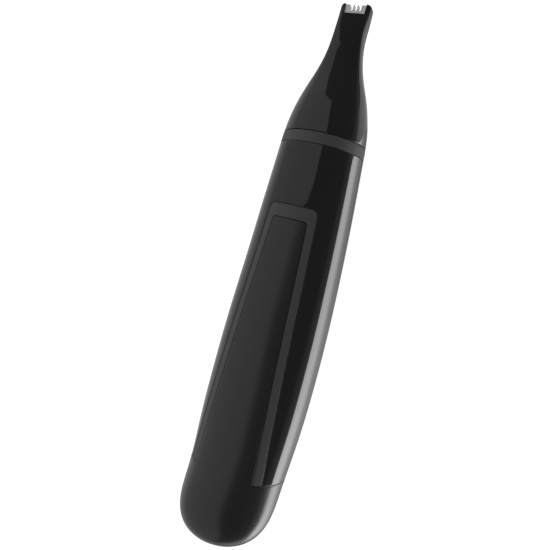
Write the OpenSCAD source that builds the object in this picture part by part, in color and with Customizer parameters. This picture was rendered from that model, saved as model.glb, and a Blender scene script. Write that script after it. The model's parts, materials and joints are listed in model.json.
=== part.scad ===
// Battery nose hair trimmer lying on its back, head towards +Y, front face up.
// Every piece is laid out in "stations": s is the distance from the butt end
// along the handle, z is the height above the drive axis datum.  lay() turns
// that into the resting frame (origin bottom centre, millimetres).

/* [Handle] */
// Overall length from the rounded butt to the tip of the head prongs
body_len = 139.9; // [132:0.1:146]
// Half width of the handle at its widest station
half_w = 13.6; // [13:0.1:15]
// Wall thickness of the outer mouldings
wall = 1.6; // [1.4:0.1:1.8]
// Station of the ring seam between butt cap and handle shell
seam_s = 18.6; // [17:0.1:20]

/* [Front frame] */
// Half width of the frame trim at its top bar
frame_top_w = 6.3; // [5.6:0.1:7]
// How much the frame half width grows per millimetre towards the butt
frame_flare = 0.0555; // [0.04:0.0005:0.06]
// Station of the outer edge of the frame top bar
frame_top_s = 86.7; // [84:0.1:88]
// Width of the top bar along the handle
frame_bar = 3.4; // [2.4:0.1:4]
// Width of the two side legs
frame_leg = 1.9; // [1.4:0.1:2.4]

/* [Head] */
// Station of the underside of the collar ring
collar_s = 102.3; // [101.8:0.1:103]
// Height of the collar ring
collar_h = 2.85; // [2.4:0.05:3.2]
// Half width of the notch between the tip prongs
notch_w = 2.8; // [2.5:0.05:3]
// Depth of the notch
notch_d = 2.75; // [2.2:0.05:3]

/* [Switch] */
// Travel of the slide switch
switch_travel = 3.5; // [2.5:0.1:3.5]

/* [Battery] */
// Radius of the AA cell
cell_r = 7.25; // [7:0.05:7.25]

/* [Facets] */
// Facets along each flank of the handle
flank = 14; // [8:1:20]
// Facets across the front panel
panel = 10; // [6:1:16]
// Points round the head
around = 44; // [24:2:64]

/* [Hidden] */

rest_h = 12.35;                 // drive axis datum above the table
end_s = 15.4;                   // station where the butt rounding starts
axis_z = 0.6;                   // battery and motor axis
tip_s = body_len;               // tip of the prongs
notch_s = tip_s - notch_d;      // notch floor
head_s = collar_s + collar_h + 0.1;
gap = 0.1;                      // gap round the parts that slide
k_w = half_w / 13.6;
cell_s = 24.5;                  // negative end of the cell
cell_len = 49.2;
fork_s = 104.3;                 // lower end of the lever
pivot_s = 118;
throw_r = 0.45;                 // eccentric throw
slot_w = 1.6;                   // half width of the switch slot
slot_s = [90.6, 95.2 + switch_travel];
bar_s = frame_top_s - frame_bar;

// station, half width, centre height
HANDLE = [[-16, 11.6, 9.6], [0, 12.1, 6.6], [15.4, 12.5, 3.2], [28.8, 13.3, 1.75],
    [43.2, 13.6, 0.85], [57.6, 13.4, 0.2], [72, 12.8, -0.28], [86.4, 12.05, -0.2],
    [102.7, 11.0, 0.25], [118, 10, 0.9]];
// station, half width, centre height, depth against width, squareness of the section
HEAD = [[90, 11.8, 0, 1, 2], [102.7, 11.0, 0.25, 1, 2], [107.5, 10.6, 0.4, 0.96, 2],
    [113.3, 9.35, 0.7, 0.89, 2.1], [117.5, 7.95, 0.95, 0.82, 2.25], [121, 6.5, 1.2, 0.75, 2.6],
    [124.5, 5.3, 1.4, 0.7, 3], [128.6, 4.4, 1.55, 0.7, 3.5], [133.4, 3.98, 1.3, 0.765, 4.2],
    [136, 4.0, 1.05, 0.675, 4.4], [139.5, 4.02, 0.98, 0.54, 4.6], [146, 4.2, 0.8, 0.4, 4.6]];

function seek(t, v, i = 0) = i >= len(t) - 2 || v < t[i + 1][0] ? i : seek(t, v, i + 1);
function slope(t, i, k) =
    let (a = max(i - 1, 0), b = min(i + 1, len(t) - 1)) (t[b][k] - t[a][k]) / (t[b][0] - t[a][0]);
function curve(t, v, k) =
    let (i = seek(t, v), h = t[i + 1][0] - t[i][0], u = (v - t[i][0]) / h,
        m0 = slope(t, i, k) * h, m1 = slope(t, i + 1, k) * h)
    (2 * u * u * u - 3 * u * u + 1) * t[i][k] + (u * u * u - 2 * u * u + u) * m0
    + (3 * u * u - 2 * u * u * u) * t[i + 1][k] + (u * u * u - u * u) * m1;

// rounding of the butt end, 1 above end_s
function butt(s) = s >= end_s ? 1 : pow(1 - pow((end_s - max(s, 0.12)) / end_s, 3.6), 0.408);
function half_at(s) = k_w * curve(HANDLE, max(s, end_s), 1) * butt(s);
function mid_at(s) = curve(HANDLE, s, 2);
function front_at(s) = mid_at(s) + 0.96 * half_at(s);
function frame_w(s) = frame_top_w + frame_flare * (frame_top_s - s);

function lobe(v, m) = sign(v) * pow(abs(v), 2 / m);
function on_handle(s, t, inset) =
    let (a = half_at(s))
    [(a - inset) * cos(t), s, mid_at(s) + ((sin(t) > 0 ? 0.96 : 0.92) * a - inset) * sin(t)];
function steps(a, b, n) = [for (i = [0:n - 1]) a + (b - a) * i / n];
// angle at which the front surface reaches the half width w
function edge_angle(s, w) = acos(w / half_at(max(s, 14)));
// angles round the handle: right flank, switch slot at the back, left flank, frame, panel
function columns(s) =
    let (e = edge_angle(s, frame_w(s)), f = edge_angle(s, frame_w(s) - frame_leg),
        b = asin(slot_w / half_at(s)))
    concat(steps(e, b - 90, flank), steps(b - 90, -b - 90, 2), steps(-b - 90, -180 - e, flank),
        steps(-180 - e, -180 - f, 2), steps(-180 - f, f - 360, panel), steps(f - 360, e - 360, 2));
function handle_row(s, inset) = [for (t = columns(s)) on_handle(s, t, inset)];
function round_ring(s, r, z) = [for (i = [0:around - 1]) let (t = -360 * i / around)
    [r * cos(t), s, z + r * sin(t)]];
function head_ring(s, inset) =
    let (a = k_w * curve(HEAD, s, 1), c = curve(HEAD, s, 2), d = curve(HEAD, s, 3) * a,
        m = curve(HEAD, s, 4))
    [for (i = [0:around - 1]) let (t = -360 * i / around)
        [(a - inset) * lobe(cos(t), m), s,
            c + ((sin(t) > 0 ? 0.96 : 0.92) * d - inset) * lobe(sin(t), m)]];
function spaced(a, b, step) = let (n = ceil((b - a) / step)) [for (i = [0:n]) a + (b - a) * i / n];

module lay() translate([0, -body_len / 2, rest_h]) children();

module loft(rings) {
    n = len(rings[0]);
    m = len(rings);
    polyhedron(
        points = [for (r = rings) each r],
        faces = concat([[for (i = [0:n - 1]) i]],
            [[for (i = [0:n - 1]) (m - 1) * n + n - 1 - i]],
            [for (j = [0:m - 2], i = [0:n - 1]) let (k = (i + 1) % n)
                [j * n + i, (j + 1) * n + i, (j + 1) * n + k]],
            [for (j = [0:m - 2], i = [0:n - 1]) let (k = (i + 1) % n)
                [j * n + i, (j + 1) * n + k, j * n + k]]), convexity = 6);
}
// Closed solid between an outer and an inner grid of points, one row per station.
// keep(j, i) says which cells are solid; every open edge of the kept cells gets a wall.
// wrap joins the last column to the first, lid closes the first row with flat ends.
module skin(outer, inner, keep, wrap = true, lid = false) {
    m = len(outer);
    n = len(outer[0]);
    cells = wrap ? n : n - 1;
    function o(j, i) = j * n + i % n;
    function q(j, i) = m * n + j * n + i % n;
    function solid(j, i) = j >= 0 && j < m - 1 && (wrap || (i >= 0 && i < cells))
        && keep(j, (i + n) % n);
    function quad(a, b, c, d) = [[c, b, a], [d, c, a]];
    faces = [for (j = [0:m - 2], i = [0:cells - 1]) if (solid(j, i)) each concat(
        quad(o(j, i), o(j, i + 1), o(j + 1, i + 1), o(j + 1, i)),
        quad(q(j, i), q(j + 1, i), q(j + 1, i + 1), q(j, i + 1)),
        solid(j - 1, i) || (lid && j == 0) ? [] : quad(o(j, i + 1), o(j, i), q(j, i), q(j, i + 1)),
        solid(j + 1, i) ? []
            : quad(o(j + 1, i), o(j + 1, i + 1), q(j + 1, i + 1), q(j + 1, i)),
        solid(j, i + 1) ? []
            : quad(o(j + 1, i + 1), o(j, i + 1), q(j, i + 1), q(j + 1, i + 1)),
        solid(j, i - 1) ? [] : quad(o(j, i), o(j + 1, i), q(j + 1, i), q(j, i)))];
    ends = lid ? [[for (i = [0:n - 1]) o(0, i)], [for (i = [n - 1:-1:0]) q(0, i)]] : [];
    polyhedron(points = concat([for (r = outer) each r], [for (r = inner) each r]),
        faces = concat(faces, ends), convexity = 8);
}

module rod(r, s0, s1, x = 0, z = 0, fn = 40)
    translate([x, s0, z]) rotate([-90, 0, 0]) cylinder(h = s1 - s0, r = r, $fn = fn);
module post(r, z0, z1, x = 0, s = 0, fn = 24)
    translate([x, s, z0]) cylinder(h = z1 - z0, r = r, $fn = fn);
module slab(x0, x1, s0, s1, z0, z1) translate([x0, s0, z0]) cube([x1 - x0, s1 - s0, z1 - z0]);

module body_shell() color([0.02, 0.02, 0.022]) lay() {
    low = spaced(seam_s, frame_top_s, 3.8);
    rows = concat(low, slot_s, [collar_s - 1.7, collar_s - 0.05]);
    skin([for (s = rows) handle_row(s, 0)], [for (s = rows) handle_row(s, wall)],
        function(j, i) !(rows[j + 1] <= frame_top_s + 0.01 && i >= 2 * flank + 2)
            && !(rows[j] == slot_s[0] && i >= flank && i < flank + 2));
}

// angles of the frame: right leg, top bar, left leg
function frame_columns(s) =
    let (e = edge_angle(s, frame_w(s) - 0.05), f = edge_angle(s, frame_w(s) - frame_leg))
    concat(steps(180 - e, 180 - f, 2), steps(180 - f, f, panel), steps(f, e, 2), [e]);
module frame_trim() color([0.09, 0.09, 0.095]) lay() {
    rows = concat(spaced(seam_s, bar_s, 3.8), [frame_top_s - 0.05]);
    skin([for (s = rows) [for (t = frame_columns(s)) on_handle(s, t, 0)]],
        [for (s = rows) [for (t = frame_columns(s)) on_handle(s, t, wall)]],
        function(j, i) rows[j + 1] > bar_s + 0.01 || i < 2 || i >= panel + 2, wrap = false);
}

module collar_ring() color([0.09, 0.09, 0.095]) lay() {
    rows = spaced(collar_s, collar_s + collar_h, 1.5);
    skin([for (s = rows) head_ring(s, 0)], [for (s = rows) round_ring(s, 8.2, axis_z)],
        function(j, i) true);
}

module rest_plate() color([0.05, 0.05, 0.05]) lay() {
    rows = spaced(45, 78, 3);
    xs = [-3.5:0.7:3.51];
    skin([for (s = rows) [for (x = xs) [-x, s, -rest_h]]],
        [for (s = rows) [for (x = xs) on_handle(s, -90 + asin(-x / half_at(s)), -0.04)]],
        function(j, i) true, wrap = false);
}

// the tongue follows the frame with a sliding gap, and the cap takes the same columns
function cover_row(s, inset) =
    let (g = gap, h = edge_angle(s, frame_w(s) - frame_leg - g))
    [for (t = concat(steps(h, -180 - h, 2 * flank + 2), steps(-180 - h, h - 360, panel)))
        on_handle(s, t, inset)];
module battery_cover() color([0.05, 0.05, 0.055]) lay() {
    turn = [for (i = [0:10]) (seam_s - gap) * (1 - cos(9 * i))];
    cap = [for (v = turn) max(v, 0.12)];
    rise = spaced(seam_s - gap, bar_s - gap, 3.8);
    tail = [for (i = [1:len(rise) - 1]) rise[i]];
    outer = concat(cap, tail);
    inner = concat([for (v = cap) wall + 0.6 + v * (1 - (wall + 0.6) / (seam_s - gap))], tail);
    skin([for (s = outer) cover_row(s, 0)], [for (s = inner) cover_row(s, wall)],
        function(j, i) j < 10 || i >= 2 * flank + 2, lid = true);
}

module cap_plate() color([0.8, 0.62, 0.3]) lay() difference() {
    rod(6.2, 15.4, 15.8, z = axis_z + 1.2, fn = 48);
    rod(1.2, 15, 16, z = axis_z + 1.2);
}

module cap_spring() {
    turns = 3.5;
    steps = 56;
    function coil(i) = let (u = i / steps, r = 4.6 - 1.6 * u, t = 360 * turns * u)
        [r * cos(t), 16.3 + 7.4 * u, axis_z + r * sin(t)];
    color([0.8, 0.8, 0.82]) lay() loft([for (i = [0:steps]) let (p = coil(i), u = i / steps,
            t = 360 * turns * u, e = [cos(t), 0, sin(t)])
        [for (j = [0:7]) let (q = -45 * j) p + 0.32 * cos(q) * e + [0, 0.32 * sin(q), 0]]]);
}

// angles round the head: right prong, back, left prong, front
function prong_angle(s) = let (v = max(s, 133.4))
    acos(pow((notch_w + 0.03) / curve(HEAD, v, 1), curve(HEAD, v, 4) / 2));
function head_columns(s) = let (e = prong_angle(s))
    concat(steps(e, -e, 12), steps(-e, e - 180, 10), steps(e - 180, -180 - e, 12),
        steps(-180 - e, e - 360, 10));
function on_head(s, t, inset) =
    let (a = k_w * curve(HEAD, s, 1), d = curve(HEAD, s, 3) * a, m = curve(HEAD, s, 4))
    [(a - inset) * lobe(cos(t), m), s, curve(HEAD, s, 2)
        + ((sin(t) > 0 ? 0.96 : 0.92) * d - inset) * lobe(sin(t), m)];
// inside of the head: an offset of the outside that closes to the blade pocket
function head_bore(s, t) = let (z0 = s < 135.3 ? 0.15 : 1.25)
    s < 129.2 ? on_head(s, t, 1)
    : [(notch_w + 0.05) * lobe(cos(t), 9), s, (2.7 + z0) / 2 + (2.7 - z0) / 2 * lobe(sin(t), 9)];
module head_shell() color([0.02, 0.02, 0.022]) lay() {
    low = concat(spaced(head_s, 129.1, 2.4), [130.1, 132.6, 135.2, 135.5, notch_s]);
    high = [notch_s + 0.02, notch_s + 0.7, notch_s + 1.4, tip_s - 0.35, tip_s];
    skin(concat([for (s = low) [for (t = head_columns(s)) on_head(s, t, 0)]],
            [for (s = high) [for (t = head_columns(s))
                let (p = on_head(s, t, s == tip_s ? 0.22 : 0))
                [sign(cos(t)) * max(abs(p[0]), notch_w + 0.02), s, p[2]]]]),
        concat([for (s = low) [for (t = head_columns(s)) head_bore(s, t)]],
            [for (s = high) [for (t = head_columns(s))
                [sign(cos(t)) * notch_w, s, on_head(s, t, s == tip_s ? 0.22 : 0)[2]]]]),
        function(j, i) j < len(low) - 1 || i < 12 || (i >= 22 && i < 34));
}

module head_base() color([0.1, 0.1, 0.105]) lay() difference() {
    union() {
        rod(8.15, collar_s - 0.3, head_s + 0.2, z = axis_z, fn = 64);
        rod(8.45, head_s + 0.05, head_s + 1.6, z = axis_z, fn = 64);
    }
    rod(6.6, collar_s - 1, head_s + 3, z = axis_z, fn = 48);
    translate([0, collar_s + 1.4, axis_z]) rotate([-90, 0, 0]) rotate_extrude($fn = 64)
        translate([7.6, -0.5]) square([2, 1]);
}

module head_seal() color([0.03, 0.03, 0.03]) lay()
    translate([0, collar_s + 1.4, axis_z]) rotate([-90, 0, 0]) rotate_extrude($fn = 64)
        translate([7.87, 0]) circle(r = 0.26, $fn = 16);

module comb(half, s0, s1, z0, z1, gaps, gap_w, gap_d, pitch = 1.1) difference() {
    slab(-half, half, s0, s1, z0, z1);
    for (i = [0:gaps - 1]) translate([(i - (gaps - 1) / 2) * pitch, 0, 0]) {
        slab(-gap_w / 2, gap_w / 2, s1 - gap_d + gap_w / 2, s1 + 1, z0 - 1, z1 + 1);
        post(gap_w / 2, z0 - 1, z1 + 1, 0, s1 - gap_d + gap_w / 2);
    }
}

module fixed_blade() color([0.78, 0.79, 0.8]) lay() difference() {
    union() {
        comb(notch_w - 0.08, 130, tip_s - 0.3, 2.05, 2.6, 3, 0.8, 1.5);
        slab(-1.7, 1.7, 126.8, 130.2, 2.05, 2.6);
    }
    for (x = [-1.1, 1.1]) post(0.4, 2, 4, x, 128);
}

module blade_rivets() color([0.7, 0.7, 0.7]) lay() for (x = [-1.1, 1.1]) post(0.38, 2.02, 2.62, x, 128);

module moving_blade() color([0.7, 0.71, 0.72]) lay() difference() {
    comb(2.1, 130.2, tip_s - 0.45, 1.36, 1.92, 3, 0.7, 1.4);
    slab(-0.47, 0.47, 132.4, 134.6, 1, 4);
}

module blade_spring() color([0.8, 0.8, 0.82]) lay() union() {
    slab(-2.4, 2.4, 121, 122.6, 1.6, 2.2);
    for (x = [-1.55, 1.15]) slab(x, x + 0.4, 122.5, 130, 1.6, 1.9);
}

module drive_lever() color([0.75, 0.75, 0.72]) lay() union() {
    difference() {
        union() {
            post(1.7, 0.2, 2.1, 0, pivot_s);
            slab(-0.9, 0.9, pivot_s - 7.4, pivot_s + 1, 0.5, 1.9);
            slab(-0.5, 0.5, pivot_s, 134.2, 0.28, 1.15);
        }
        post(0.8, -1, 4, 0, pivot_s);
    }
    slab(-2.5, 2.5, pivot_s - 8.9, pivot_s - 7.3, -0.2, 1.9);
    for (x = [-2.5, 1.6]) slab(x, x + 0.9, fork_s, pivot_s - 7.4, -0.4, 1.7);
    post(0.4, 1.1, 1.85, 0, 133.5);
}

module lever_pin() color([0.8, 0.8, 0.82]) lay() post(0.75, -3.2, 5.5, 0, pivot_s);

module eccentric_cam() color([0.85, 0.84, 0.8]) lay() union() {
    difference() {
        rod(3, 99, 101.4, z = axis_z);
        rod(0.72, 98, 100.8, z = axis_z);
    }
    rod(0.6, 101.3, 107, z = axis_z + throw_r);
}

module motor_shaft() color([0.8, 0.8, 0.82]) lay() rod(0.7, 97.65, 100.75, z = axis_z);

module motor_can() color([0.7, 0.71, 0.72]) lay() difference() {
    union() {
        rod(6.5, 80.5, 96.9, z = axis_z, fn = 64);
        rod(2.4, 96.8, 97.6, z = axis_z);
    }
    rod(6.12, 80, 84, z = axis_z, fn = 64);
    for (x = [-4.2, 4.2]) rod(0.6, 96.2, 98, x, axis_z);
}

module motor_bell() color([0.1, 0.12, 0.3]) lay() union() {
    rod(6.4, 78.6, 80.45, z = axis_z, fn = 64);
    rod(6.05, 80.4, 83.6, z = axis_z, fn = 64);
    rod(2, 78, 78.7, z = axis_z);
}

module motor_terminals() color([0.8, 0.62, 0.3]) lay()
    for (x = [-4.6, 3.2]) slab(x, x + 1.4, 77.2, 78.55, axis_z - 0.2, axis_z + 0.2);

module motor_capacitor() color([0.75, 0.5, 0.15]) lay() rod(2, 77, 77.9, z = -3.2);

module chassis() color([0.14, 0.14, 0.15]) lay() difference() {
    union() {
        rod(8.3, 24, 76.8, z = axis_z, fn = 64);
        rod(7.4, 76.7, 99, z = axis_z, fn = 64);
        rod(8.6, 97.9, 99.4, z = axis_z, fn = 64);
        for (s = [30, 66]) slab(-10.6, 10.6, s, s + 1.6, -2, 2);
        slab(-1, 1, 44, 58, -9.8, -7);
    }
    rod(cell_r + 0.25, 23, 75.3, z = axis_z, fn = 64);
    rod(6.6, 76.4, 97.7, z = axis_z, fn = 64);
    rod(4, 70, 102, z = axis_z, fn = 40);
    slab(-5.6, 5.6, 32.4, 65, 3, 12);
    slab(8.95, 9.35, 20, 80, axis_z - 1.45, axis_z + 1.45);
    slab(-2.6, 2.6, 86, 97.5, -9, -5);
    slab(-2.6, 2.6, 97.4, 99.6, -9, -7.4);
    for (x = [-7.9, 7.9]) rod(0.5, 97, 101, x, axis_z);
}

module chassis_screws() color([0.8, 0.8, 0.82]) lay() for (x = [-7.9, 7.9]) difference() {
    union() {
        rod(0.48, 97.95, 99.45, x, axis_z);
        rod(1.15, 99.42, 100.2, x, axis_z);
    }
    slab(x - 1, x + 1, 99.9, 101, axis_z - 0.15, axis_z + 0.15);
}

module bulkhead() color([0.12, 0.12, 0.13]) lay() difference() {
    rod(3.95, 75.45, 76.75, z = axis_z);
    rod(0.8, 75, 78, z = axis_z);
}

module positive_contact() color([0.8, 0.62, 0.3]) lay() union() {
    slab(-3.2, 3.2, 75.1, 75.42, axis_z - 2, axis_z + 2);
    rod(0.7, 75.3, 76.9, z = axis_z);
}

module negative_strip() color([0.8, 0.62, 0.3]) lay() union() {
    slab(9, 9.3, 21, 79, axis_z - 1.4, axis_z + 1.4);
    slab(7.7, 9.2, 78.7, 79, axis_z - 1.4, axis_z + 1.4);
}

// insulated wire through a few points
module wire(points, r) for (i = [0:len(points) - 2]) hull() {
    translate(points[i]) sphere(r = r, $fn = 10);
    translate(points[i + 1]) sphere(r = r, $fn = 10);
}
module lead_red() color([0.7, 0.05, 0.04]) lay()
    wire([[0, 77.2, axis_z], [2, 77.4, 3], [3.9, 77.7, 1.6]], 0.35);
module lead_black() color([0.02, 0.02, 0.02]) lay()
    wire([[8.3, 79.6, -0.2], [8, 83, -2.6], [6, 86, -6.2], [3, 88, -7.6], [2, 90, -7.6]], 0.45);

module switch_knob() color([0.09, 0.09, 0.095]) lay() difference() {
    union() {
        slab(-2.6, 2.6, 90, 96, -rest_h + 0.3, -11.45);
        for (s = [90, 96]) post(2.6, -rest_h + 0.3, -11.45, 0, s);
        slab(-1.3, 1.3, 91, 95, -11.5, -8.2);
    }
    for (s = [89.4:1.2:96.6]) slab(-3, 3, s - 0.25, s + 0.25, -rest_h, -rest_h + 0.6);
}

module switch_slider() color([0.75, 0.74, 0.7]) lay() slab(-1.9, 1.9, 90.4, 95.6, -8.2, -7.7);

module switch_contact() color([0.8, 0.62, 0.3]) lay() union() {
    slab(-1.5, 1.5, 88, 97.4, -7.25, -7.05);
    slab(-1.5, 1.5, 97.1, 97.4, -7.2, -6.4);
}

module battery_can() color([0.75, 0.76, 0.77]) lay()
    rod(cell_r - 0.15, cell_s, cell_s + cell_len, z = axis_z, fn = 64);

module battery_sleeve() color([0.15, 0.3, 0.2]) lay() difference() {
    rod(cell_r, cell_s + 0.6, cell_s + cell_len - 0.3, z = axis_z, fn = 64);
    rod(cell_r - 0.15, cell_s - 1, cell_s + cell_len + 1, z = axis_z, fn = 64);
}

module battery_terminal() color([0.8, 0.8, 0.82]) lay()
    rod(2.7, cell_s + cell_len, cell_s + cell_len + 1.1, z = axis_z);

body_shell();
frame_trim();
collar_ring();
rest_plate();
battery_cover();
cap_plate();
cap_spring();
head_shell();
head_base();
head_seal();
fixed_blade();
blade_rivets();
moving_blade();
blade_spring();
drive_lever();
lever_pin();
eccentric_cam();
motor_shaft();
motor_can();
motor_bell();
motor_terminals();
motor_capacitor();
chassis();
chassis_screws();
bulkhead();
positive_contact();
negative_strip();
lead_red();
lead_black();
switch_knob();
switch_slider();
switch_contact();
battery_can();
battery_sleeve();
battery_terminal();
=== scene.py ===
"""Battery nose hair trimmer: smooth outer mouldings, materials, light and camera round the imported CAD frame."""
import json
import math

import bpy
import numpy as np
from mathutils import Matrix, Vector


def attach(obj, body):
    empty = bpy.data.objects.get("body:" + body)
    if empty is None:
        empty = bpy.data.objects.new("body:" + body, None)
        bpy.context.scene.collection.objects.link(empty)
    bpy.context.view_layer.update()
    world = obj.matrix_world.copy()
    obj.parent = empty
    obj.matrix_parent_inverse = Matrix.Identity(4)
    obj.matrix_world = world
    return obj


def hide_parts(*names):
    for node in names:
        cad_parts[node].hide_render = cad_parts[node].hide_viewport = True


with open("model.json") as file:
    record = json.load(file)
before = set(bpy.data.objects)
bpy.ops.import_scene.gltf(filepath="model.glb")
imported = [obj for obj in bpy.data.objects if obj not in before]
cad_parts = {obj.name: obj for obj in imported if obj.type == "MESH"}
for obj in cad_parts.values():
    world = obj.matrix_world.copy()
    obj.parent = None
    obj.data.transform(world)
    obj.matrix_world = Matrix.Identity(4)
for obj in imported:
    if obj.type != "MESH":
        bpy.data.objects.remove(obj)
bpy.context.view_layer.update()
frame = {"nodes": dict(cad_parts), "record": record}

# ---------------------------------------------------------------- shared geometry, millimetres
LENGTH = 139.9
REST = 12.35          # drive axis datum above the table
AXIS_Z = 0.6
WALL = 1.6
SEAM = 18.6           # ring seam between cap and handle
FRAME_TOP = 86.7
BAR = FRAME_TOP - 3.4
LEG = 1.9
GAP = 0.1
COLLAR, COLLAR_H = 102.3, 2.85
HEAD_S = COLLAR + COLLAR_H + 0.1
NOTCH_W, NOTCH_S = 2.8, LENGTH - 2.75
SLOT_S, SLOT_W = (90.6, 98.7), 1.6
END_S = 15.4          # where the butt rounding starts
BUTT_EASE = 5         # how softly the rounding joins the handle
BUTT_POWER, BUTT_ROOT = 3.6, 0.408
FRONT_DEPTH, BACK_DEPTH = 0.96, 0.92      # depth against half width
FRAME_TOP_W, FRAME_FLARE = 6.3, 0.0555    # half width at the top bar, growth per mm towards the butt
OPENING_R, FRAME_R = 1.5, 0.9             # plan corners of the shell opening and of the frame's inside
TONGUE_R = 0.8        # plan corners of the cover's tongue
TONGUE_FROM = 14      # below this station the tongue's outline stays as it is here
CAP_FLOOR = 2.4       # thickness at the pole of the cap
SPIGOT_R = 8.2        # bore of the collar
PRONG_S = 133.4       # from here the prongs' walls run straight
THROAT_S, SEAT_S = 129.2, 135.3           # where the bore narrows, where the comb's seat starts
BORE_LOW, SEAT_LOW, BORE_TOP = 0.15, 1.25, 2.7

# station, half width, centre height
HANDLE = [(-16, 11.6, 9.6), (0, 12.1, 6.6), (15.4, 12.5, 3.2), (28.8, 13.3, 1.75), (43.2, 13.6, 0.85),
          (57.6, 13.4, 0.2), (72, 12.8, -0.28), (86.4, 12.05, -0.2), (102.7, 11.0, 0.25), (118, 10, 0.9)]
# station, half width, centre height, depth against width, squareness of the section
HEAD = [(90, 11.8, 0, 1, 2), (102.7, 11.0, 0.25, 1, 2), (107.5, 10.6, 0.4, 0.96, 2),
        (113.3, 9.35, 0.7, 0.89, 2.1), (117.5, 7.95, 0.95, 0.82, 2.25), (121, 6.5, 1.2, 0.75, 2.6),
        (124.5, 5.3, 1.4, 0.7, 3), (128.6, 4.4, 1.55, 0.7, 3.5), (133.4, 3.98, 1.3, 0.765, 4.2),
        (136, 4.0, 1.05, 0.675, 4.4), (139.5, 4.02, 0.98, 0.54, 4.6), (146, 4.2, 0.8, 0.4, 4.6)]


def spline(table, column):
    """Natural cubic through one column of a station table."""
    x = np.array([r[0] for r in table], float)
    y = np.array([r[column] for r in table], float)
    h, n = np.diff(x), len(x)
    a, b = np.eye(n), np.zeros(n)
    for i in range(1, n - 1):
        a[i, i - 1:i + 2] = h[i - 1], 2 * (h[i - 1] + h[i]), h[i]
        b[i] = 6 * ((y[i + 1] - y[i]) / h[i] - (y[i] - y[i - 1]) / h[i - 1])
    m = np.linalg.solve(a, b)

    def at(s):
        i = int(np.clip(np.searchsorted(x, s) - 1, 0, n - 2))
        u, v = x[i + 1] - s, s - x[i]
        return ((m[i] * u ** 3 + m[i + 1] * v ** 3) / (6 * h[i])
                + (y[i] / h[i] - m[i] * h[i] / 6) * u + (y[i + 1] / h[i] - m[i + 1] * h[i] / 6) * v)
    return at


handle_a, handle_c = spline(HANDLE, 1), spline(HANDLE, 2)
head_a, head_c, head_d, head_m = (spline(HEAD, k) for k in (1, 2, 3, 4))


def half(s):
    eased = 0.5 * (s + END_S + math.hypot(s - END_S, BUTT_EASE))
    u = max(0.0, (END_S - s) / END_S)
    return handle_a(eased) * (max(0.0, 1 - u ** BUTT_POWER)) ** BUTT_ROOT


def on_handle(s, t, inset=0.0):
    a, z = half(s), math.sin(t)
    depth = (FRONT_DEPTH if z > 0 else BACK_DEPTH) * a
    return (a - inset) * math.cos(t), s, handle_c(s) + (depth - inset) * z


def frame_w(s):
    return FRAME_TOP_W + FRAME_FLARE * (FRAME_TOP - s)


def rounded_w(s, trim, top, r):
    """Half width of a flared outline whose top corners are rounded."""
    w = frame_w(s) - trim
    if s <= top - r:
        return w
    return frame_w(min(s, top)) - trim - r + math.sqrt(max(0.0, r * r - (min(s, top) - top + r) ** 2))


def off_outline(x, s, trim, top, r):
    """Distance outside (positive) of that outline, measured in plan."""
    x = abs(x)
    w = frame_w(min(s, top)) - trim
    if s > top - r and x > w - r:
        return math.hypot(x - w + r, s - top + r) - r
    return max(x - w, s - top)


def roll(d, r):
    """How far a surface drops beside an edge rounded to radius r."""
    return 0.0 if d >= r else r - math.sqrt(max(0.0, r * r - (r - max(d, 0.0)) ** 2))


def lobe(v, m):
    return math.copysign(abs(v) ** (2 / m), v)


def on_head(s, t, inset=0.0, side_inset=None):
    a = head_a(s)
    d, m, z = head_d(s) * a, head_m(s), math.sin(t)
    depth = (FRONT_DEPTH if z > 0 else BACK_DEPTH) * d
    side = inset if side_inset is None else side_inset
    return (a - side) * lobe(math.cos(t), m), s, head_c(s) + (depth - inset) * lobe(z, m)


def steps(a, b, n):
    return [a + (b - a) * i / n for i in range(n)]


def between(a, b, step):
    n = max(1, math.ceil(abs(b - a) / step))
    return [a + (b - a) * i / n for i in range(n + 1)]


EDGE = (0.0, 0.03, 0.08, 0.15, 0.25)      # samples beside an edge


# ---------------------------------------------------------------- mesh helpers
def make(name, points, faces, smooth_deg=35):
    pts = [(x / 1000, (s - LENGTH / 2) / 1000, (z + REST) / 1000) for x, s, z in points]
    me = bpy.data.meshes.new(name)
    used = sorted({i for f in faces for i in f})
    new = {old: k for k, old in enumerate(used)}
    me.from_pydata([pts[i] for i in used], [], [[new[i] for i in f] for f in faces])
    me.validate()
    me.polygons.foreach_set("use_smooth", [True] * len(me.polygons))
    me.set_sharp_from_angle(angle=math.radians(smooth_deg))
    ob = bpy.data.objects.new(name, me)
    bpy.context.scene.collection.objects.link(ob)
    return ob


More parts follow.
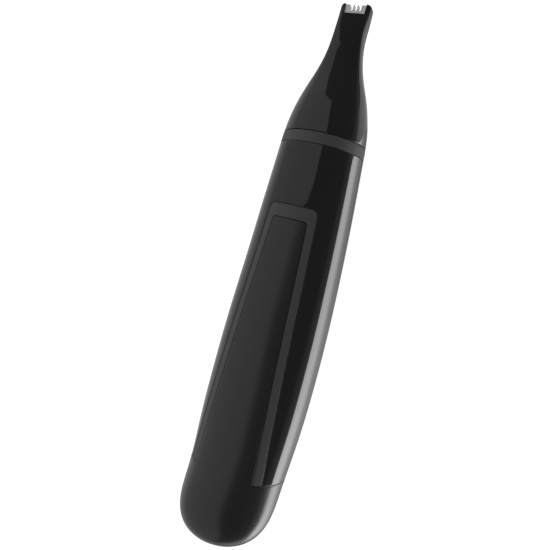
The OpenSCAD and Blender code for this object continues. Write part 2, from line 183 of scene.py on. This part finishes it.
def skin(name, outer, inner, keep=lambda j, i: True, wrap=True, lid=False):
    """Closed solid between two grids; keep says which cells are solid, lid closes the first row."""
    m, n = len(outer), len(outer[0])
    cells = n if wrap else n - 1

    def o(j, i):
        return j * n + i % n

    def q(j, i):
        return (m + j) * n + i % n

    def solid(j, i):
        return 0 <= j < m - 1 and (wrap or 0 <= i < cells) and keep(j, i % n)

    faces = []
    for j in range(m - 1):
        for i in range(cells):
            if not solid(j, i):
                continue
            faces.append((o(j, i), o(j, i + 1), o(j + 1, i + 1), o(j + 1, i)))
            faces.append((q(j, i), q(j + 1, i), q(j + 1, i + 1), q(j, i + 1)))
            if not solid(j - 1, i) and not (lid and j == 0):
                faces.append((o(j, i + 1), o(j, i), q(j, i), q(j, i + 1)))
            if not solid(j + 1, i):
                faces.append((o(j + 1, i), o(j + 1, i + 1), q(j + 1, i + 1), q(j + 1, i)))
            if not solid(j, i + 1):
                faces.append((o(j + 1, i + 1), o(j, i + 1), q(j, i + 1), q(j + 1, i + 1)))
            if not solid(j, i - 1):
                faces.append((o(j, i), o(j + 1, i), q(j + 1, i), q(j, i)))
    if lid:
        faces.append([o(0, i) for i in range(n - 1, -1, -1)])
        faces.append([q(0, i) for i in range(n)])
    points = [p for row in outer for p in row] + [p for row in inner for p in row]
    return make(name, points, faces)


# ---------------------------------------------------------------- materials
def principled(name, color, rough, metal=0.0, coat=0.0, ior=1.5, grain=0.0, grain_size=4000.0,
               rough_spread=0.0, brushed=None):
    """One material: colour, gloss and, where asked, moulded grain or brushing as procedural bump."""
    mat = bpy.data.materials.new(name)
    mat.use_nodes = True
    nt = mat.node_tree
    b = nt.nodes["Principled BSDF"]
    b.inputs["Base Color"].default_value = (*color, 1)
    b.inputs["Roughness"].default_value = rough
    b.inputs["Metallic"].default_value = metal
    b.inputs["IOR"].default_value = ior
    b.inputs["Coat Weight"].default_value = coat
    b.inputs["Coat Roughness"].default_value = 0.04
    if grain or rough_spread or brushed:
        tc = nt.nodes.new("ShaderNodeTexCoord")
        mp = nt.nodes.new("ShaderNodeMapping")
        mp.inputs["Scale"].default_value = brushed or (1, 1, 1)
        noise = nt.nodes.new("ShaderNodeTexNoise")
        noise.inputs["Scale"].default_value = grain_size
        noise.inputs["Detail"].default_value = 3
        nt.links.new(tc.outputs["Object"], mp.inputs["Vector"])
        nt.links.new(mp.outputs["Vector"], noise.inputs["Vector"])
        if grain:
            bump = nt.nodes.new("ShaderNodeBump")
            bump.inputs["Strength"].default_value = grain
            bump.inputs["Distance"].default_value = 0.00003
            nt.links.new(noise.outputs["Fac"], bump.inputs["Height"])
            nt.links.new(bump.outputs["Normal"], b.inputs["Normal"])
        if rough_spread:
            ramp = nt.nodes.new("ShaderNodeMapRange")
            ramp.inputs["To Min"].default_value = max(0.0, rough - rough_spread)
            ramp.inputs["To Max"].default_value = rough + rough_spread
            nt.links.new(noise.outputs["Fac"], ramp.inputs["Value"])
            nt.links.new(ramp.outputs["Result"], b.inputs["Roughness"])
    return mat


GLOSS = principled("gloss_black", (0.0095, 0.0095, 0.0105), 0.06)
MATTE = principled("matte_grey", (0.073, 0.074, 0.077), 0.62, ior=1.36, grain=0.35, grain_size=3500)
SATIN = principled("satin_grey", (0.015, 0.0155, 0.017), 0.26, grain=0.12, grain_size=3500)
RUBBER = principled("rubber_black", (0.02, 0.02, 0.02), 0.75, grain=0.4, grain_size=2500)
INNER = principled("inner_plastic", (0.12, 0.12, 0.13), 0.5, grain=0.15, grain_size=2500)
ACETAL = principled("acetal", (0.72, 0.71, 0.67), 0.35, grain=0.05)
BLADE = principled("blade_steel", (0.93, 0.94, 0.95), 0.42, metal=1, grain=0.15, grain_size=900,
                   rough_spread=0.06, brushed=(1, 14, 1))
SPRING = principled("spring_steel", (0.8, 0.8, 0.82), 0.2, metal=1, rough_spread=0.05)
ZINC = principled("zinc_steel", (0.66, 0.67, 0.68), 0.32, metal=1, rough_spread=0.08, grain_size=700)
BRASS = principled("brass_strip", (0.83, 0.62, 0.27), 0.28, metal=1, rough_spread=0.06, grain_size=900)
BELL = principled("bell_blue", (0.04, 0.07, 0.24), 0.4, grain=0.1)
AMBER = principled("ceramic_amber", (0.6, 0.28, 0.04), 0.25, coat=0.5)
RED = principled("wire_red", (0.5, 0.02, 0.015), 0.45, grain=0.05)
BLACK = principled("wire_black", (0.015, 0.015, 0.015), 0.45, grain=0.05)
GREEN = principled("sleeve_green", (0.02, 0.16, 0.09), 0.22, coat=0.6)
BY_SLOT = {"gloss_black": GLOSS, "matte_grey": MATTE, "satin_grey": SATIN, "rubber_black": RUBBER,
           "inner_plastic": INNER, "acetal": ACETAL, "blade_steel": BLADE, "spring_steel": SPRING,
           "zinc_steel": ZINC, "brass_strip": BRASS, "bell_blue": BELL, "ceramic_amber": AMBER,
           "wire_red": RED, "wire_black": BLACK, "sleeve_green": GREEN}
BEVEL = {"rest_plate": 0.25, "switch_knob": 0.25, "fixed_blade": 0.04, "moving_blade": 0.04,
         "chassis": 0.12, "drive_lever": 0.12, "motor_can": 0.2, "battery_can": 0.3,
         "battery_terminal": 0.25, "eccentric_cam": 0.12, "switch_slider": 0.1, "head_base": 0.15,
         "motor_bell": 0.12, "cap_plate": 0.08, "positive_contact": 0.06, "negative_strip": 0.06}
for part in frame["record"]["subparts"]:
    ob = frame["nodes"][part["node"]]
    ob.data.materials.clear()
    ob.data.materials.append(BY_SLOT[part["material_slot"]])
    width = BEVEL.get(part["node"])
    if width:
        bev = ob.modifiers.new("edges", "BEVEL")
        bev.width, bev.segments, bev.limit_method = width / 1000, 2, "ANGLE"
        bev.angle_limit = math.radians(40)


def dress(ob, mat, slot, body, *nodes):
    ob.data.materials.append(mat)
    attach(ob, body)
    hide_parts(*nodes)


# ---------------------------------------------------------------- handle shell
FLANK, FRONT = 44, 28
SHELL_EDGE = 0.18


def body_angles(s):
    w = rounded_w(s, 0.0, FRAME_TOP, OPENING_R)
    e, b, a = math.acos(w / half(s)), math.asin(SLOT_W / half(s)), half(s)
    right = [e - d / a for d in EDGE] + steps(e - EDGE[-1] / a, b - math.pi / 2, FLANK)[1:]
    back = steps(b - math.pi / 2, -b - math.pi / 2, 4)
    left = [-math.pi - t for t in reversed(right)]
    left = [-b - math.pi / 2] + left[:-1]
    front = steps(-math.pi - e, e - 2 * math.pi, FRONT)
    return right + back + left + front


def shell_inset(p):
    x, s, _ = p
    d = min(s - SEAM, COLLAR - 0.05 - s)
    if p[2] > handle_c(s):
        d = min(d, off_outline(x, s, 0.0, FRAME_TOP, OPENING_R))
    return roll(d, SHELL_EDGE)


def make_shell():
    corner = FRAME_TOP - OPENING_R
    rows = [SEAM + d for d in EDGE] + between(SEAM + 0.25, corner, 1.1)[1:]
    rows += [corner + OPENING_R * math.sin(math.radians(a)) for a in range(10, 91, 8)]
    rows += [FRAME_TOP] + [FRAME_TOP + d for d in EDGE[1:]]
    rows += between(FRAME_TOP + 0.25, SLOT_S[0], 1.0)[1:]
    rows += between(SLOT_S[0], SLOT_S[1], 1.0)[1:] + between(SLOT_S[1], COLLAR - 0.3, 1.0)[1:]
    rows += [COLLAR - 0.05 - d for d in reversed(EDGE)]
    rows = sorted(set(round(r, 4) for r in rows))
    side = len(EDGE) + FLANK - 1
    grids = []
    for depth in (0, WALL):
        grid = []
        for s in rows:
            row = []
            for t in body_angles(s):
                row.append(on_handle(s, t, depth or shell_inset(on_handle(s, t))))
            grid.append(row)
        grids.append(grid)
    front_from = 2 * side + 4
    in_slot = {j for j, s in enumerate(rows) if SLOT_S[0] - 1e-6 <= s < SLOT_S[1] - 1e-6}

    def keep(j, i):
        if i >= front_from and rows[j + 1] <= FRAME_TOP + 1e-6:
            return False
        return not (j in in_slot and side <= i < side + 4)
    ob = skin("handle_shell", grids[0], grids[1], keep)
    dress(ob, GLOSS, "gloss_black", "handle", "body_shell")


# ---------------------------------------------------------------- inverted U frame
def frame_outline(trim, top, r, low):
    """Plan points up the right leg, over the bar and down the left leg, evenly matched."""
    wt = frame_w(top) - trim
    right = [(frame_w(s) - trim, s) for s in np.linspace(low, top - r, 70)]
    corner = [(wt - r + r * math.cos(a), top - r + r * math.sin(a))
              for a in np.linspace(0, math.pi / 2, 11)[1:]]
    bar = [(x, top) for x in np.linspace(wt - r, 0, 16)[1:]]
    one = right + corner + bar
    return one + [(-x, s) for x, s in reversed(one[:-1])]


def make_frame():
    low = SEAM + 0.03
    outer = frame_outline(0.07, FRAME_TOP - 0.07, 1.43, low)
    inner = frame_outline(LEG, BAR, FRAME_R, low)
    cuts = [0, 0.015, 0.04, 0.08, 0.14, 0.3, 0.5, 0.7, 0.86, 0.92, 0.96, 0.985, 1]
    grids = [[], []]
    for (xo, so), (xi, si) in zip(outer, inner):
        wide = math.hypot(xo - xi, so - si)
        rows = ([], [])
        for v in cuts:
            x, s = xo + (xi - xo) * v, so + (si - so) * v
            t = math.acos(max(-1, min(1, x / half(s))))
            d = min(v, 1 - v) * wide
            rows[0].append(on_handle(s, t, 0.02 + roll(d, 0.16)))
            rows[1].append(on_handle(s, t, WALL))
        grids[0].append(rows[0])
        grids[1].append(rows[1])
    ob = skin("frame_band", grids[0], grids[1], wrap=False)
    dress(ob, MATTE, "matte_grey", "handle", "frame_trim")


# ---------------------------------------------------------------- battery cover, tongue and cap in one
def make_cover():
    rim, top, r = SEAM - GAP, BAR - GAP, TONGUE_R
    trim = LEG + GAP
    side = 2 * FLANK + 10

    def angles(s):
        s = max(s, TONGUE_FROM)
        a = half(s)
        h = math.acos(rounded_w(s, trim, top, r) / a)
        front = [-math.pi - h - d / a for d in EDGE[:-1]]
        front += steps(-math.pi - h - EDGE[-1] / a, h - 2 * math.pi + EDGE[-1] / a, FRONT)
        front += [h - 2 * math.pi + d / a for d in reversed(EDGE[1:])]
        return steps(h, -math.pi - h, side) + front

    pole = [rim * (1 - math.cos(math.radians(a))) for a in np.linspace(3.2, 88, 46)]
    cap = [v for v in pole if v < rim - 0.4] + [rim - d for d in reversed(EDGE)]
    rise = [rim + d for d in EDGE[1:]] + between(rim + 0.25, top - r, 1.2)[1:]
    rise += [top - r + r * math.sin(math.radians(a)) for a in range(12, 91, 13)] + [top]
    rise = sorted(set(round(v, 4) for v in rise))
    rise = [v for v in rise if v < top - 1e-3] + [top]
    outer_rows, inner_rows = [], []
    for s in cap + rise:
        row = []
        for i, t in enumerate(angles(s)):
            x = on_handle(s, t)[0]
            if i >= side:
                d = -off_outline(x, s, trim, top, r) if s > rim - 0.25 else 1
                inset = roll(d if s > rim else max(d, rim - s), 0.2)
            else:
                inset = roll(rim - s, 0.2)
            row.append(on_handle(s, t, inset))
        outer_rows.append(row)
        si = CAP_FLOOR + s * (1 - CAP_FLOOR / rim) if s < rim else s
        inner_rows.append([on_handle(si, t, WALL) for t in angles(si if si > TONGUE_FROM else s)])
    split = len(cap) - 1
    ob = skin("battery_hatch", outer_rows, inner_rows,
              lambda j, i: j < split or i >= side, lid=True)
    dress(ob, SATIN, "satin_grey", "cover", "battery_cover")


# ---------------------------------------------------------------- collar
def make_collar():
    n, lo, hi = 160, COLLAR, COLLAR + COLLAR_H
    rows = [lo + d for d in EDGE] + between(lo + 0.25, hi - 0.25, 0.5)[1:]
    rows += [hi - d for d in reversed(EDGE[:-1])]
    turn = [-2 * math.pi * i / n for i in range(n)]
    ob = skin("collar_band",
              [[on_head(s, t, roll(min(s - lo, hi - s), 0.2)) for t in turn] for s in rows],
              [[(SPIGOT_R * math.cos(t), s, AXIS_Z + SPIGOT_R * math.sin(t)) for t in turn]
               for s in rows])
    dress(ob, MATTE, "matte_grey", "handle", "collar_ring")


# ---------------------------------------------------------------- head
def make_head():
    side, face = 34, 30

    def angles(s):
        v = max(s, PRONG_S)
        e = math.acos(((NOTCH_W + 0.03) / head_a(v)) ** (head_m(v) / 2))
        return (steps(e, -e, side) + steps(-e, e - math.pi, face)
                + steps(e - math.pi, -math.pi - e, side) + steps(-math.pi - e, e - 2 * math.pi, face))

    def bore(s, t):
        if s < THROAT_S:
            return on_head(s, t, 1.0)
        z0 = BORE_LOW if s < SEAT_S else SEAT_LOW
        return ((NOTCH_W + 0.05) * lobe(math.cos(t), 9), s,
                (BORE_TOP + z0) / 2 + (BORE_TOP - z0) / 2 * lobe(math.sin(t), 9))

    low = [HEAD_S + d for d in EDGE] + between(HEAD_S + 0.25, 129.1, 0.8)[1:]
    low += [129.6, 130.4, 131.2, 132, 132.8, 133.6, 134.4, 135.2, 135.4, 136]
    low += [NOTCH_S - d for d in reversed(EDGE)]
    high = [NOTCH_S + 0.01] + between(NOTCH_S + 0.3, LENGTH - 0.85, 0.4)
    high += [LENGTH - 0.8 * (1 - math.sin(math.radians(a)))
             for a in (0, 12, 25, 38, 48, 56, 65, 75, 90)]
    outer, inner = [], []
    for s in low:
        drop = roll(s - HEAD_S, 0.2)
        outer.append([on_head(s, t, drop) for t in angles(s)])
        inner.append([bore(s, t) for t in angles(s)])
    for s in high:
        drop = roll(LENGTH - s, 0.8)
        row = [on_head(s, t, roll(LENGTH - s, 0.25), drop) for t in angles(s)]
        wall = NOTCH_W + 0.12 * drop
        outer.append([(math.copysign(max(abs(x), wall + 0.02), x), s, z) for x, _, z in row])
        inner.append([(math.copysign(wall, x), s, z) for x, _, z in row])
    ob = skin("head_moulding", outer, inner,
              lambda j, i: j < len(low) - 1 or i < side or side + face <= i < 2 * side + face)
    dress(ob, GLOSS, "gloss_black", "head", "head_shell")


make_shell()
make_frame()
make_cover()
make_collar()
make_head()


# ---------------------------------------------------------------- camera
AZ, EL, ROLL = math.radians(21.03), math.radians(3.07), math.radians(14.28)
DIST = 141.1                              # to the aim point, mm
AIM_X, AIM_S = -4.01, 68.6                # aim point: mm to the right, station
SENSOR, FOCAL, IMAGE = 36, 537.2, 550     # sensor in mm, focal length and image width in image units
back = Vector((math.sin(AZ) * math.cos(EL), math.sin(EL), math.cos(AZ) * math.cos(EL)))
right = Vector((math.cos(AZ), 0, -math.sin(AZ)))
up = back.cross(right)
cam_up = up * math.cos(ROLL) - right * math.sin(ROLL)
cam_right = right * math.cos(ROLL) + up * math.sin(ROLL)
target = right * AIM_X + Vector((0, AIM_S - LENGTH / 2, REST))
cam_data = bpy.data.cameras.new("camera")
cam_data.sensor_width, cam_data.lens = SENSOR, SENSOR * FOCAL / IMAGE
cam_data.clip_start, cam_data.clip_end = 0.01, 20
camera = bpy.data.objects.new("camera", cam_data)
bpy.context.scene.collection.objects.link(camera)
turn = Matrix((cam_right, cam_up, back)).transposed().to_4x4()
camera.matrix_world = Matrix.Translation((target + back * DIST) / 1000) @ turn
bpy.context.scene.camera = camera

# ---------------------------------------------------------------- stage and light
# The sheets below were shaped and tuned for the reflections in the view from the camera at rest.
FLOOR_GLOW, SURROUND = 0.95, 0.16
FLAG_DIST, FLAG_Y = 0.03, 0.06            # radius of the tip flag and its centre on the long axis, m
bpy.ops.mesh.primitive_plane_add(size=6, location=(0, 0, -0.0002))
floor = bpy.context.object
floor.name = "floor"
pale = principled("pale_floor", (0.5, 0.5, 0.5), 0.9)
pale_shader = pale.node_tree.nodes["Principled BSDF"]
pale_shader.inputs["Emission Color"].default_value = (1, 1, 1, 1)
pale_shader.inputs["Emission Strength"].default_value = FLOOR_GLOW
floor.data.materials.append(pale)

world = bpy.data.worlds.new("studio")
bpy.context.scene.world = world
world.use_nodes = True
world.node_tree.nodes["Background"].inputs["Color"].default_value = (1, 1, 1, 1)
world.node_tree.nodes["Background"].inputs["Strength"].default_value = SURROUND


def light_sheet(name, points, faces, axis, levels):
    """A plain glowing sheet of the studio, seen by the object but not by the camera. levels gives
    (place along the axis in metres, radiance), blended between."""
    me = bpy.data.meshes.new(name)
    me.from_pydata([tuple(p) for p in points], [], faces)
    mat = bpy.data.materials.new(name)
    mat.use_nodes = True
    nt = mat.node_tree
    nt.nodes.clear()
    glow = nt.nodes.new("ShaderNodeEmission")
    out = nt.nodes.new("ShaderNodeOutputMaterial")
    place, part = nt.nodes.new("ShaderNodeTexCoord"), nt.nodes.new("ShaderNodeSeparateXYZ")
    span, ramp = nt.nodes.new("ShaderNodeMapRange"), nt.nodes.new("ShaderNodeValToRGB")
    first, last = levels[0][0], levels[-1][0]
    peak = max(level for _, level in levels)
    span.inputs["From Min"].default_value, span.inputs["From Max"].default_value = first, last
    for k, (at, level) in enumerate(levels):
        stop = ramp.color_ramp.elements[k] if k < 2 else ramp.color_ramp.elements.new(1)
        stop.position, stop.color = (at - first) / (last - first), (*[level / peak] * 3, 1)
    glow.inputs["Strength"].default_value = peak
    nt.links.new(place.outputs["Object"], part.inputs["Vector"])
    nt.links.new(part.outputs[axis], span.inputs["Value"])
    nt.links.new(span.outputs["Result"], ramp.inputs["Fac"])
    nt.links.new(ramp.outputs["Color"], glow.inputs["Color"])
    nt.links.new(glow.outputs["Emission"], out.inputs["Surface"])
    me.materials.append(mat)
    ob = bpy.data.objects.new(name, me)
    bpy.context.scene.collection.objects.link(ob)
    ob.visible_camera = False
    ob.visible_shadow = False
    return ob


def dome_sheet(name, bands, levels, dist=2.0, centre=0.0, cells=12):
    """Part of a dome round a point of the long axis: each band is (tilt towards the head, from, to),
    in degrees turned about the handle from the camera's plane."""
    points, faces = [], []
    for tilt, start, end in bands:
        for k in range(cells + 1):
            a, e = AZ + math.radians(start + (end - start) * k / cells), math.radians(tilt)
            points.append((math.sin(a) * math.cos(e) * dist, math.sin(e) * dist + centre,
                           math.cos(a) * math.cos(e) * dist + REST / 1000))
    for j in range(len(bands) - 1):
        for k in range(cells):
            c = j * (cells + 1) + k
            faces.append((c, c + 1, c + cells + 2, c + cells + 1))
    return light_sheet(name, points, faces, "Z", levels)


def table_sheet(name, rects, levels):
    """Sheets lying on the table, each (x0, x1, y0, y1), seen only as a reflection."""
    points, faces = [], []
    for x0, x1, y0, y1 in rects:
        faces.append(range(len(points), len(points) + 4))
        points += [(x0, y0, -0.0001), (x1, y0, -0.0001), (x1, y1, -0.0001), (x0, y1, -0.0001)]
    light_sheet(name, points, faces, "X", levels).visible_diffuse = False


dome_sheet("soft_left", [(-80, -111, 4), (-46, -111, 2), (-22, -111, -7), (-10, -111, -12),
                         (0, -111, -20), (6, -111, -22), (9, -111, -14), (12, -111, -6),
                         (16, -111, -7), (31, -111, -8), (43, -111, -18), (52, -111, -30),
                         (56, -111, -48), (75, -111, -60)],
           [(0.0, 0.48), (0.7, 0.62), (1.3, 0.68)])
dome_sheet("tip_flag", [(15, -28, 30), (20, -46, 30), (28, -50, 30), (38, -62, 30), (50, -88, 30),
                        (80, -95, 30)],
           [(0.0, 0.16), (0.1, 0.16)], dist=FLAG_DIST, centre=FLAG_Y)
FAR, BAND = 3, 0.062                     # reach of the table sheets, outer edge of the bright one
BUTT, SHOULDER, TIP, AHEAD = -0.11, 0.045, 0.08, 0.115
table_sheet("table_left", [(-FAR, -BAND, -FAR, FAR), (-BAND, 0, -FAR, TIP), (-BAND, 0, AHEAD, FAR)],
            [(-FAR, 0.55), (-0.02, 0.62), (0, 0.5)])
table_sheet("table_beyond", [(BAND, FAR, -FAR, FAR)],
            [(BAND, 0.55), (0.1, 0.35), (0.25, 0.28), (FAR, 0.2)])
table_sheet("table_tip", [(-BAND, BAND, TIP, AHEAD)], [(-BAND, 0.15), (BAND, 0.15)])
table_sheet("table_ends",
            [(0, BAND, SHOULDER, TIP), (0, BAND, AHEAD, FAR), (0, BAND, -FAR, BUTT)],
            [(0, 0.4), (0.03, 1.2), (BAND, 1.2)])
table_sheet("table_bright", [(0, BAND, BUTT, SHOULDER)],
            [(0, 0.35), (0.015, 0.4), (0.019, 0.95), (0.0215, 1.2), (0.025, 2.0), (0.03, 3.9),
             (0.038, 5.5), (BAND, 6.0)])

bpy.context.scene.view_settings.view_transform = "Standard"
bpy.context.scene.view_settings.look = "None"
